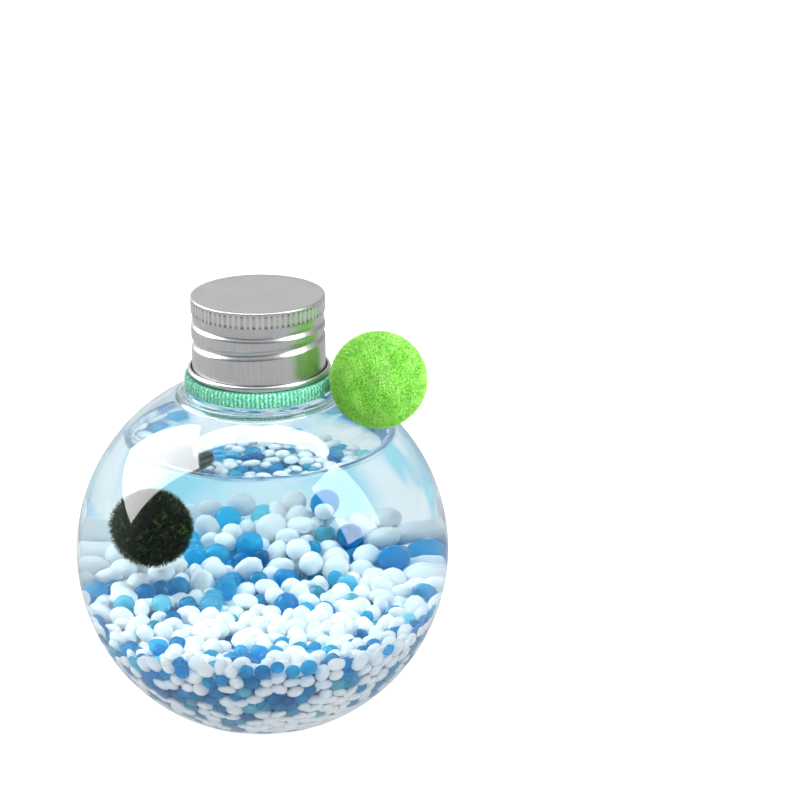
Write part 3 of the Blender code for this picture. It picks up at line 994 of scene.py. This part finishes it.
# %% [markdown]
# ## The pom-pom
# The pom-pom is a bundle of crimped acrylic yarn, trimmed to a ball: far denser than the moss, and so
# bright that it colours the cap beside it. It presses on the jar's shoulder, so the fibres that would go
# into the plastic stop at its surface. Its pile is two pieces, because one would be too heavy a mesh.

# %% Pom-pom
POMPOM_FIBRES = 19500  # in each of the two pieces
POMPOM_CORE = POMPOM_RADIUS - 1.0 * MM
LONG_FIBRES = 0.12
LONGER_BY = 0.9 * MM
BAND_GIVE = 0.2 * MM  # how far the pile may press into the band


def pompom_look():
    """Lime green, with painted shade deep in the pile, painted light, yellower, at the tips, and a mottle
    where the pile parts.
    """
    look = Finish("pompom_fibre", IOR=1.3, Roughness=0.85)
    look.set("Sheen Weight", 0.3)
    look.set("Sheen Tint", (0.7, 1.0, 0.4))
    where = look.place(centre=tuple(POMPOM_CENTRE))
    mottle = look.noise(where, 3000.0, 1.0).spread(0.4, 0.6)
    parting = look.noise(where, 260.0, 2.0).spread(0.35, 0.65)
    # painted shade near each fibre's root and painted light towards its tip, through the along tone
    look.set("Base Color", look.ramp(
        look.tone("along") * 0.4 + look.tone("tone") * 0.1 + mottle * 0.35 + parting * 0.15,
        (0.12, (0.03, 0.32, 0.006)),
        (0.4, (0.15, 0.70, 0.025)),
        (0.68, (0.52, 0.97, 0.19)),
        (0.92, (0.88, 1.0, 0.55)),
    ))
    return look.material


def clear_of_jar(places):
    """Moves points out of the jar's ball, away from its centre, and out of the band, away from the axis."""
    centre = np.array([0.0, 0.0, BALL_CENTRE])
    away = places - centre
    distance = np.linalg.norm(away, axis=1)
    least = BALL_RADIUS + 0.5 * GAP
    places = centre + away * np.maximum(1.0, least / distance)[:, None]
    across = np.hypot(places[:, 0], places[:, 1])
    beside = places[:, 2] < band_high[2] + GAP
    push = np.where(beside, np.maximum(1.0, (band_high[0] - BAND_GIVE) / across), 1.0)
    places[:, :2] *= push[:, None]
    return places


def pompom_piece(name, points, faces, tones):
    """One piece of the pom-pom, kept clear of the jar."""
    make_piece(name, clear_of_jar(points), faces, lime, "jar", "pompom", tones)


lime = pompom_look()
widths = np.full(POMPOM_FIBRES, 0.05 * MM)
for part in (1, 2):
    lengths = random.uniform(0.6, 1.75, POMPOM_FIBRES) * MM
    lengths += LONGER_BY * (random.random(POMPOM_FIBRES) < LONG_FIBRES)
    pile = coat(POMPOM_CENTRE, POMPOM_RADIUS, POMPOM_CORE, lengths, 0.55, 0.5, widths)
    pompom_piece(f"pompom_fibres_{part}", *pile)
# the core's one low tone paints it in the pile's deep shade
points, faces = lumpy_ball(POMPOM_CENTRE, POMPOM_CORE + 0.2 * MM, 0.03, 5)
pompom_piece("pompom_core", points, faces, still_tones(points, 0.25))

# %% [markdown]
# ## The elastic band
# The band is knitted over rubber: about a hundred upright ribs, each a column of small twisted stitches.
# Its section is a soft rounded bar. Ribs and stitches are waves pushed out of that section, so they are
# real relief and not only bump.

# %% Band
RIBS = 108
STITCHES = 5
RELIEF = 0.36 * MM


def band_section():
    """A squarish ring section: radius and height are half sides times sign |cos|^0.5 and sign |sin|^0.5."""
    inner = COLLAR_RADIUS + GAP
    half_width = (band_high[0] - inner) / 2 - 0.2 * MM
    half_height = (band_high[2] - band_low[2]) / 2 - 0.05 * MM
    angle = np.linspace(-np.pi, np.pi, 96, endpoint=False)
    across, up = (np.sign(wave) * np.abs(wave) ** 0.5 for wave in (np.cos(angle), np.sin(angle)))
    radius = inner + 0.2 * MM + half_width * (1 + across)
    height = (band_high[2] + band_low[2]) / 2 + half_height * up
    return np.stack([radius, height], 1)


def stitch_height(height, angle):
    """A rib is |sin| of the angle; along it, each stitch is a |sin| loop that leans to the next rib."""
    up = (height - band_low[2]) / (band_high[2] - band_low[2])
    rib = np.abs(np.sin(0.5 * RIBS * angle)) ** 0.8
    loop = np.abs(np.sin(np.pi * (STITCHES * up + 0.35 * np.sin(RIBS * angle)))) ** 0.8
    return rib * (0.3 + 0.7 * loop)


def knit(radius, height, angle):
    """Raises stitches on the section: RELIEF times their height less 0.16 mm, none on the band's inside.

    The upper half also moves up and the lower half down, by 0.4 of that.
    """
    low, high = band_low[2], band_high[2]
    outer = np.clip((radius - COLLAR_RADIUS - GAP) / (high - low), 0.0, 1.0)
    raised = (RELIEF * stitch_height(height, angle) - 0.16 * MM) * outer
    return radius + raised, height + 0.4 * raised * np.sign(height - 0.5 * (low + high))


def elastic_look():
    """Mint yarn: painted shade, dark green, between the stitches and a painted highlight, pale, on their
    crests, with fine fibre noise.
    """
    look = Finish("mint_elastic", IOR=1.35)
    look.set("Sheen Weight", 0.2)
    fibre = look.noise(look.place((1.0, 1.0, 0.35)), 2600.0, 3.0)
    drift = look.noise(look.place(), 120.0, 2.0)
    fleck = look.noise(look.place(), 1900.0, 1.0).spread(0.35, 0.65)
    # painted shade between the stitches and a painted highlight on their crests, from the stitch height
    look.set("Base Color", look.ramp(
        look.tone("crest") * 0.55 + fibre * 0.15 + drift * 0.15 + fleck * 0.35,
        (0.1, (0.02, 0.20, 0.10)),
        (0.5, (0.06, 0.33, 0.20)),
        (0.85, (0.21, 0.60, 0.42)),
        (1.0, (0.50, 0.86, 0.71)),
    ))
    look.set("Roughness", 0.6 + 0.3 * fibre)
    look.relief(fibre, 0.05 * MM, 0.7)
    return look.material


points, faces = turn(band_section(), RIBS * 8, knit, closed=True)
crest = {"crest": stitch_height(points[:, 2], np.arctan2(points[:, 1], points[:, 0]))}
make_piece("ribbed_band", points, faces, elastic_look(), "jar", "neck_band", crest)

# %% [markdown]
# ## The screw cap
# The cap is thin aluminium rolled onto the neck: a flat top with a soft edge, a band of flutes to grip, a
# plain bead groove, the thread groove, a brushed skirt and a hem curled outwards. The flutes, the grooves
# and the hem are all cut into one turned wall, which has an inside as well.

# %% The cap's outline
FLUTES = 72
FLUTE_LOW = 89.1 * MM
FLUTE_HIGH = 92.0 * MM
FLUTE_CUT = 0.26 * MM
CAP_TOP = cap_high[2]
HEM_BOTTOM = cap_low[2]
CREASE_BOTTOM = HEM_BOTTOM + 0.5 * MM


def cap_outline():
    """From the middle of the ceiling down inside, round the hem, up outside and in over the top."""
    inner = CAP_RADIUS - CAP_WALL
    ceiling = CAP_TOP - CAP_WALL
    lining = rounded([(0.0, ceiling), (inner, ceiling), (inner, FLUTE_LOW)], 0.5 * MM)
    inside = straight((inner, FLUTE_LOW), (inner, HEM_BOTTOM + 1.2 * MM), 0.5 * MM)
    curl_radius = 0.5 * (HEM_RADIUS - inner - 0.1 * MM)
    curl = arc(HEM_RADIUS - curl_radius, 0.0, curl_radius, -90.0, 168.0, 12.0)
    curl[:, 1] = HEM_BOTTOM + (curl[:, 1] - curl[:, 1].min()) * 0.8
    crease = rounded([
        curl[-1],
        (CAP_RADIUS + 0.38 * MM, CREASE_BOTTOM),
        (CAP_RADIUS, CREASE_BOTTOM),
        (CAP_RADIUS, HEM_BOTTOM + 1.3 * MM),
    ], 0.12 * MM)
    outside = straight((CAP_RADIUS, HEM_BOTTOM + 1.3 * MM), (CAP_RADIUS, FLUTE_HIGH), 0.17 * MM)
    top = rounded([
        (CAP_RADIUS, FLUTE_HIGH),
        (CAP_RADIUS, CAP_TOP - 0.05 * MM),
        (CAP_RADIUS - 0.9 * MM, CAP_TOP),
        (CAP_RADIUS - 1.9 * MM, CAP_TOP - 0.08 * MM),
        (0.0, CAP_TOP - 0.08 * MM),
    ], 0.8 * MM)
    return joined(lining, inside, curl, crease, outside, top)


print(f"the cap is {2 * CAP_RADIUS / MM:.0f} mm across and {(CAP_TOP - HEM_BOTTOM) / MM:.1f} mm tall")

# %% [markdown]
# The grooves and the flutes are rolled in from outside. Each is a depth worked out for every point of the
# turned wall; where two of them meet, the deeper one counts. The flute depths also set painted shade in
# the flutes, darkest near their ends.

# %% Rolling and fluting
def flute_depth(height, angle):
    """How deep a flute is, from 0 to 1: 1 - |sin|^1.5 between broad ridges, each its own depth."""
    above = np.clip((height - FLUTE_LOW) / (0.25 * MM), 0, 1)
    below = np.clip((FLUTE_HIGH - height) / (0.3 * MM), 0, 1)
    turns = FLUTES * angle / math.tau
    worn = 0.75 + 0.25 * np.sin(2.4 * np.round(turns) + 1.3 * np.sin(0.7 * np.round(turns)))
    return (1 - np.abs(np.sin(np.pi * turns)) ** 1.5) * worn * np.sqrt(above * below)


def roll_and_flute(radius, height, angle):
    """Sinks the level groove, the thread groove and, on the outside, the flutes and the wall below them.

    The ridges between the flutes end in small drops above that sunk wall.
    """
    outside = np.abs(radius - CAP_RADIUS) < 0.001 * MM
    wall = outside | (np.abs(radius - CAP_RADIUS + CAP_WALL) < 0.001 * MM)
    level = 0.5 * MM * bump(height - LEVEL_GROOVE, 1.0 * MM)
    thread = 0.6 * MM * helix_bump(height, angle, GROOVE_START, -0.45, 0.4, 1.25 * MM)
    below = np.clip((FLUTE_LOW + 0.15 * MM - height) / (0.2 * MM), 0, 1) * (height > LEVEL_GROOVE)
    cut = FLUTE_CUT * np.maximum(flute_depth(height, angle), below)
    return radius - np.maximum(np.maximum(level, thread) * wall, cut * outside), height


def burnish(points):
    """Rubbed brightness and painted shade: 0.6 on plain wall, 0.95 on ridges, less in flutes, least near
    their ends, 0 in the crease.
    """
    across, angle = np.hypot(points[:, 0], points[:, 1]), np.arctan2(points[:, 1], points[:, 0])
    height = points[:, 2]
    outer = across > CAP_RADIUS - CAP_WALL + 0.02 * MM
    fluted = outer & (height > FLUTE_LOW) & (height < FLUTE_HIGH)
    # painted shade: the flutes darken most near their ends
    at_end = np.maximum(FLUTE_LOW + 0.9 * MM - height, height - FLUTE_HIGH + 0.7 * MM) / (0.6 * MM)
    flute_shade = 0.45 + 0.5 * np.clip(at_end, 0.0, 1.0)
    bright = np.where(fluted, 0.95 - flute_shade * np.sqrt(flute_depth(height, angle)), 0.6)
    # painted shadow: the crease above the hem's curl is set to 0, near black
    painted_crease_shade = (across < CAP_RADIUS + 0.45 * MM) & outer & (height < HEM_BOTTOM + 1.15 * MM)
    return np.where(painted_crease_shade & (height > CREASE_BOTTOM - 0.05 * MM), 0.0, bright)


points, faces = turn(cap_outline(), FLUTES * 8, roll_and_flute)
burnish_and_shade_tone = {"burnish": burnish(points)}
print(FLUTES, "flutes; mean burnish", burnish_and_shade_tone["burnish"].mean().round(2))

# %% [markdown]
# Brushed aluminium is a metal whose fine scratches run one way. On the skirt they run up and down, so the
# noise that drives roughness and bump is squeezed sideways and drawn out in height; the top is a plain
# fine grain. The rolled ridges are rubbed bright and shine more; the flutes and the hem's crease are
# darkened towards near black as painted shade.

# %% Aluminium and the cap
def aluminium_look():
    """Brushed aluminium: upright scratches on the wall, rubbed bright ridges, painted shade in the hollows
    and the crease.
    """
    look = Finish("brushed_aluminium", Metallic=1.0)
    brushed = look.noise(look.place((1.0, 1.0, 0.05)), 2600.0, 3.0, 0.6)
    grain = look.noise(look.place(), 2200.0, 3.0, 0.6)
    smudge = look.noise(look.place(), 140.0, 2.0)
    burnish_and_shade_tone = look.tone("burnish")
    metal = look.ramp(brushed * 0.7 + smudge * 0.3, (0.3, (0.64, 0.64, 0.65)), (0.7, (0.78, 0.78, 0.79)))
    # painted shade: low values blend the metal towards near black
    painted_hollow_shade = look.blend(burnish_and_shade_tone.spread(0.0, 0.6), (0.06, 0.06, 0.065), metal)
    look.set("Base Color", look.blend(burnish_and_shade_tone.spread(0.6, 1.0), painted_hollow_shade, (0.95, 0.95, 0.955)))
    look.set("Roughness", 0.30 + 0.12 * brushed + 0.05 * smudge - 0.1 * burnish_and_shade_tone)
    look.relief(brushed * 0.6 + grain * 0.4, 0.02 * MM, 0.5)
    return look.material


make_piece("rolled_cap", points, faces, aluminium_look(), "cap", "screw_cap", burnish_and_shade_tone)

# %% [markdown]
# ## The liner
# Under the cap's ceiling lies a thin disc of white foam that seals the mouth. Its plain shape is right
# as it is, so the construction model's own mesh stays and only gets a finish with foam cells in it.

# %% Liner
def foam_look():
    """Closed-cell foam: off-white, matt, with tiny cells."""
    look = Finish("liner_foam", IOR=1.4, Roughness=0.8)
    cells = look.node("ShaderNodeTexVoronoi", {}, {"Vector": look.place(), "Scale": 2500.0}, "Distance")
    look.set("Base Color", look.ramp(cells, (0.0, (0.80, 0.80, 0.77)), (0.6, (0.92, 0.92, 0.90))))
    look.relief(cells, 0.03 * MM, 0.5)
    return look.material


liner = frame["nodes"]["cap_liner"]
liner.data.materials.clear()
liner.data.materials.append(foam_look())
print("liner:", len(liner.data.polygons), "faces")

# %% [markdown]
# ## The floor
# The jar stands on a white sweep. A lit white floor would need a strong lamp to look as white as the room
# behind it, so this one glows. It shows a glow of its own to each kind of ray: dimmer in the cap's metal,
# in aqua patches through the water, like light that water has gathered, and brighter to the pebbles above
# it, which a real sweep would light from far around.

# %% Floor
MIRRORED_FLOOR = 0.56
LIGHTING_FLOOR = 1.7
FLOOR_HALF = 3.0


def floor_look():
    """A white sweep whose glow is mixed from one for each kind of ray."""
    white = (1.0, 1.0, 1.0)
    look = Finish("white_sweep", Roughness=0.9)
    cloud = look.noise(look.place(), 3.0, 2.0)
    look.set("Base Color", look.ramp(cloud, (0.3, (0.30, 0.30, 0.30)), (0.7, (0.32, 0.32, 0.32))))
    look.set("Emission Color", white)
    look.set("Emission Strength", 0.85)
    mirrored, through, lighting = look.light_path()[1:]
    patches = look.noise(look.place(), 60.0, 2.0).spread(0.46, 0.58)
    aqua = look.blend(patches, white, (0.43, 0.82, 0.93))
    shader = look.shaded
    for share, colour, strength in (
        (mirrored, white, MIRRORED_FLOOR),
        (through, aqua, 1.0),
        (lighting, white, LIGHTING_FLOOR),
    ):
        glow = look.node("ShaderNodeEmission", {}, {"Color": colour, "Strength": strength})
        shader = look.node("ShaderNodeMixShader", {}, {0: share, 1: shader, 2: glow})
    look.finish_with(shader)
    return look.material


mesh = bpy.data.meshes.new("floor")
corners = FLOOR_HALF * np.array([(-1, -1, 0), (1, -1, 0), (1, 1, 0), (-1, 1, 0)])
mesh.from_pydata(corners.tolist(), [], [(0, 1, 2, 3)])
mesh.materials.append(floor_look())
floor = bpy.data.objects.new("floor", mesh)
bpy.context.scene.collection.objects.link(floor)
print(f"floor {2 * FLOOR_HALF:.0f} m across")

# %% [markdown]
# ## Soft boxes
# Three rectangular lamps stand for the soft boxes of a studio: a big one at the left, a small one at the
# right and a strip overhead. They are there for their reflections: the bright shapes on the ball, and the
# shine of the cap's rolled edges. Matt surfaces don't see them, because the room lights those without noise.

# %% Soft boxes
def soft_box(name, centre, across, upwards, size, radiance):
    """A rectangular lamp whose sides run along across and upwards; it shines against their cross product.

    Its power is pi times its area times its radiance.
    """
    data = bpy.data.lights.new(name, "AREA")
    data.shape = "RECTANGLE"
    data.size, data.size_y = size
    data.energy = math.pi * size[0] * size[1] * radiance
    box = bpy.data.objects.new(name, data)
    across = Vector(across).normalized()
    upwards = (Vector(upwards) - across * across.dot(Vector(upwards))).normalized()
    turned = Matrix((across, upwards, across.cross(upwards))).transposed().to_4x4()
    box.matrix_world = Matrix.Translation(centre) @ turned
    box.visible_diffuse = False
    bpy.context.scene.collection.objects.link(box)
    print(f"{name}: {data.energy:.1f} W")


soft_box("left_box", (-0.804, 0.28, 0.768), (0.0, -0.981, -0.192), (0.15, -0.25, 0.95), (0.8, 0.97), 7.5)
soft_box("right_box", (0.70, -0.24, 0.55), (0.32, 0.95, 0.0), (-0.45, 0.15, 0.88), (0.42, 0.62), 5.5)
soft_box("top_box", (0.0, 0.12, 1.0), (0.0, 1.0, 0.0), (-1.0, 0.0, 0.0), (0.22, 1.3), 9.0)

# %% [markdown]
# ## The room
# The room is the world behind everything: an even white to the camera. Light has to get through plastic
# and water to reach the pebbles, and a world does that without noise, so it does most of the lighting. A
# studio is dark where its lamps are not, and metal shows that, so mirrors see a dim room in front of the
# jar and a white one behind it.

# %% Room
def glow_towards(room, direction, towards):
    """A broad lamp round one direction of the room: its cosine, from 0.1 to 0.95, squared."""
    inputs = {0: direction, 1: towards}
    cosine = room.node("ShaderNodeVectorMath", {"operation": "DOT_PRODUCT"}, inputs, "Value")
    near = cosine.spread(0.1, 0.95)
    return near * near


def white_room():
    """A world whose brightness depends on the ray's direction and on how the ray came there.

    The camera sees plain white. Matt surfaces get light mostly from above: from the right in the open
    air, from the left through the water. Mirrors see white low behind the jar and a dim room in front.
    Clear pieces see white straight through, and a streaky azure where they bend the view far aside.
    """
    world = bpy.data.worlds.new("white_room")
    world.use_nodes = True
    room = Recipe(world.node_tree)
    direction = room.node("ShaderNodeTexCoord", output="Generated")
    side = room.node("ShaderNodeSeparateXYZ", {}, {"Vector": direction}, "X")
    ahead, height = side.also("Y"), side.also("Z")
    seen, mirrored, through, lighting = room.light_path()
    depth = ahead.spread(-0.25, 0.45)
    corner = side.spread(0.15, 0.6) * ahead.spread(-0.3, 0.2)
    reflected = 0.1 + 0.53 * depth * height.spread(0.85, 0.45) * (1 - 0.6 * corner)
    reflected = reflected + 0.45 * height.spread(0.5, 0.8) * ahead.spread(0.1, -0.3)
    outdoors = glow_towards(room, direction, (0.58, -0.2, 0.79)) * 4.6 + 0.5
    indoors = glow_towards(room, direction, (-0.45, -0.05, 0.89)) * 2.2 + 0.85 + 0.3 * depth
    shining = through * indoors + (1 - through) * outdoors
    aside = side * side + height * height * 0.6
    behind = 1.0 - 0.3 * aside.spread(0.25, 0.8)
    level = lighting * shining + (1 - lighting) * (mirrored * reflected + (1 - mirrored) * behind)
    streaks = room.noise(direction, 2.3, 2.0).spread(0.44, 0.6)
    bent = through * (1 - lighting) * (0.25 + 0.75 * aside.spread(0.0, 0.4)) * (0.3 + 0.7 * streaks)
    background = room.tree.nodes["Background"]
    room.feed(background.inputs["Strength"], seen + (1 - seen) * level)
    room.feed(background.inputs["Color"], room.blend(bent, (1.0, 1.0, 1.0), (0.36, 0.78, 0.95)))
    world.cycles.sampling_method = "NONE"
    return world


bpy.context.scene.world = white_room()
print("the room has", len(bpy.context.scene.world.node_tree.nodes), "nodes")

# %% [markdown]
# ## Camera and colour
# The camera looks down on the jar at twenty degrees through a long lens, which keeps the ball round. Light
# that passes the wall, the water and the beads crosses many surfaces, so a ray may bend many times. The
# plain Standard view keeps white white.

# %% Camera and colour
CAMERA_PLACE = np.array([29.55, -446.04, 232.25]) * MM
LOOK_DOWN = 20.1
LENS = 101.25

camera_data = bpy.data.cameras.new("camera")
camera_data.lens = LENS
camera_data.sensor_width = 36.0
camera = bpy.data.objects.new("camera", camera_data)
camera.location = CAMERA_PLACE
camera.rotation_euler = (math.radians(90.0 - LOOK_DOWN), 0.0, 0.0)
bpy.context.scene.collection.objects.link(camera)
bpy.context.scene.camera = camera

scene = bpy.context.scene
scene.view_settings.view_transform = "Standard"
scene.cycles.max_bounces = 32
scene.cycles.transmission_bounces = 32
scene.cycles.diffuse_bounces = 8
scene.cycles.glossy_bounces = 12
scene.cycles.sample_clamp_indirect = 6.0
print(f"camera {np.linalg.norm(CAMERA_PLACE):.2f} m from the jar's foot, lens {LENS} mm")

# %% [markdown]
# ## Finish
